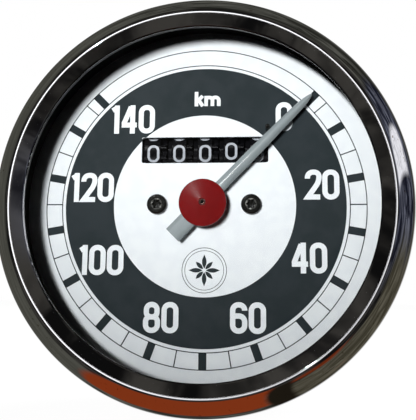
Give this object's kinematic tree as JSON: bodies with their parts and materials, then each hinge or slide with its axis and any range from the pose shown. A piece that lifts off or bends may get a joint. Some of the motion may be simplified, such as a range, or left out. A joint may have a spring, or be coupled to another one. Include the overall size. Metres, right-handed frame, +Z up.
{
  "type": "speedometer",
  "caption": "Round motorcycle speedometer: chrome bezel, flat glass, 0 to 140 dial with a distance counter, turning magnet and drag cup, worm train, steel case with cable spigot and rear studs.",
  "frame": {"origin": "on the dial axis, in the plane of the case back's outer face, midway between the two rear studs", "axes": "the dial looks along -Y, +X is to the right on the dial and +Z is up, towards the open part of the scale"},
  "size_m": [0.0782, 0.0628, 0.0782],
  "materials": {
    "chrome": "bright plated, rolled",
    "clear_glass": "clear flat glass",
    "black_rubber": "matt moulded rubber",
    "black_ring": "matt black paint",
    "dial_print": "satin silver paint with black print",
    "black_steel": "blackened steel",
    "pointer_grey": "satin grey paint",
    "cap_red": "dark red, satin gloss",
    "brass": "turned",
    "spring_bronze": "rolled strip",
    "aluminium_sheet": "satin",
    "cast_zinc": "as cast",
    "steel": "turned, zinc plated",
    "magnet_alloy": "ground cast magnet",
    "white_plastic": "moulded",
    "wheel_black": "glossy black with white figures",
    "case_steel": "satin black paint over drawn steel",
    "black_plastic": "moulded",
    "bulb_glass": "clear bulb"
  },
  "bodies": {
    "case": {"case": "case_steel", "bezel": "chrome", "lens_glass": "clear_glass", "lens_gasket": "black_rubber", "glare_ring": "black_ring", "dial_plate": "dial_print", "dial_screws": "black_steel", "stop_pin": "black_steel", "hairspring": "spring_bronze", "hairspring_stud": "brass", "spindle_bush": "brass", "dial_posts": "steel", "front_plate": "cast_zinc", "plate_screws": "steel", "pillars": "steel", "rear_plate": "cast_zinc", "thrust_washer": "brass", "shaft_bush": "brass", "counter_left_plate": "steel", "counter_right_plate": "steel", "counter_screws": "steel", "counter_axle": "steel", "pinion_axle": "steel", "case_screws": "steel", "rear_studs": "steel", "cable_spigot": "steel", "seat_ring": "black_rubber", "lamp_holder": "black_plastic", "lamp_bulb": "bulb_glass", "lamp_contact": "brass"},
    "pointer": {"pointer": "pointer_grey", "pointer_cap": "cap_red", "pointer_spindle": "brass", "speed_cup": "aluminium_sheet", "hairspring_collet": "brass"},
    "input": {"input_shaft": "steel", "rotating_magnet": "magnet_alloy", "field_cup": "steel", "shaft_circlip": "steel"},
    "cross": {"cross_shaft": "steel", "cross_wheel": "white_plastic"},
    "lay": {"lay_shaft": "steel", "lay_wheel": "white_plastic"},
    "number_5": {"number_wheel_5": "wheel_black", "counter_gear": "white_plastic"},
    "number_4": {"number_wheel_4": "wheel_black"},
    "number_3": {"number_wheel_3": "wheel_black"},
    "number_2": {"number_wheel_2": "wheel_black"},
    "number_1": {"number_wheel_1": "wheel_black"},
    "pinion_4": {"transfer_pinion_4": "white_plastic"},
    "pinion_3": {"transfer_pinion_3": "white_plastic"},
    "pinion_2": {"transfer_pinion_2": "white_plastic"},
    "pinion_1": {"transfer_pinion_1": "white_plastic"}
  },
  "joints": [
    {"name": "pointer_sweep", "type": "hinge", "parent": "case", "child": "pointer", "pos_m": [0, -0.0378, 0], "axis": [0, 1, 0], "range_deg": [0, 270], "stiffness_Nm_per_rad": 0.0002, "springref_deg": -20.05, "deforming": ["hairspring"]},
    {"name": "input_spin", "type": "hinge", "parent": "case", "child": "input", "pos_m": [0, 0, 0], "axis": [0, 1, 0], "continuous": true},
    {"name": "cross_spin", "type": "hinge", "parent": "case", "child": "cross", "pos_m": [0.00148, -0.0075, -0.0054], "axis": [0.9645, 0, 0.2642], "continuous": true},
    {"name": "lay_spin", "type": "hinge", "parent": "case", "child": "lay", "pos_m": [0.01515, -0.0075, 0.00415], "axis": [0, 1, 0], "continuous": true},
    {"name": "number_5_spin", "type": "hinge", "parent": "case", "child": "number_5", "pos_m": [0.0103, -0.0296, 0.01075], "axis": [1, 0, 0], "continuous": true},
    {"name": "number_4_spin", "type": "hinge", "parent": "case", "child": "number_4", "pos_m": [0.00515, -0.0296, 0.01075], "axis": [1, 0, 0], "continuous": true},
    {"name": "number_3_spin", "type": "hinge", "parent": "case", "child": "number_3", "pos_m": [0, -0.0296, 0.01075], "axis": [1, 0, 0], "continuous": true},
    {"name": "number_2_spin", "type": "hinge", "parent": "case", "child": "number_2", "pos_m": [-0.00515, -0.0296, 0.01075], "axis": [1, 0, 0], "continuous": true},
    {"name": "number_1_spin", "type": "hinge", "parent": "case", "child": "number_1", "pos_m": [-0.0103, -0.0296, 0.01075], "axis": [1, 0, 0], "continuous": true},
    {"name": "pinion_4_spin", "type": "hinge", "parent": "case", "child": "pinion_4", "pos_m": [0.00773, -0.0296, 0.01943], "axis": [1, 0, 0], "continuous": true},
    {"name": "pinion_3_spin", "type": "hinge", "parent": "case", "child": "pinion_3", "pos_m": [0.00258, -0.0296, 0.01943], "axis": [1, 0, 0], "continuous": true},
    {"name": "pinion_2_spin", "type": "hinge", "parent": "case", "child": "pinion_2", "pos_m": [-0.00258, -0.0296, 0.01943], "axis": [1, 0, 0], "continuous": true},
    {"name": "pinion_1_spin", "type": "hinge", "parent": "case", "child": "pinion_1", "pos_m": [-0.00773, -0.0296, 0.01943], "axis": [1, 0, 0], "continuous": true}
  ],
  "couplings": [
    {"joint": "cross_spin", "follows": "input_spin", "ratio": 0.05},
    {"joint": "lay_spin", "follows": "input_spin", "ratio": 0.0025},
    {"joint": "number_5_spin", "follows": "input_spin", "ratio": 0.0001},
    {"joint": "number_4_spin", "follows": "input_spin", "ratio": 0.00001},
    {"joint": "number_3_spin", "follows": "input_spin", "ratio": 0.000001},
    {"joint": "number_2_spin", "follows": "input_spin", "ratio": 0.0000001},
    {"joint": "number_1_spin", "follows": "input_spin", "ratio": 0.00000001},
    {"joint": "pinion_4_spin", "follows": "input_spin", "ratio": -0.000025},
    {"joint": "pinion_3_spin", "follows": "input_spin", "ratio": -0.0000025},
    {"joint": "pinion_2_spin", "follows": "input_spin", "ratio": -0.00000025},
    {"joint": "pinion_1_spin", "follows": "input_spin", "ratio": -0.000000025}
  ]
}
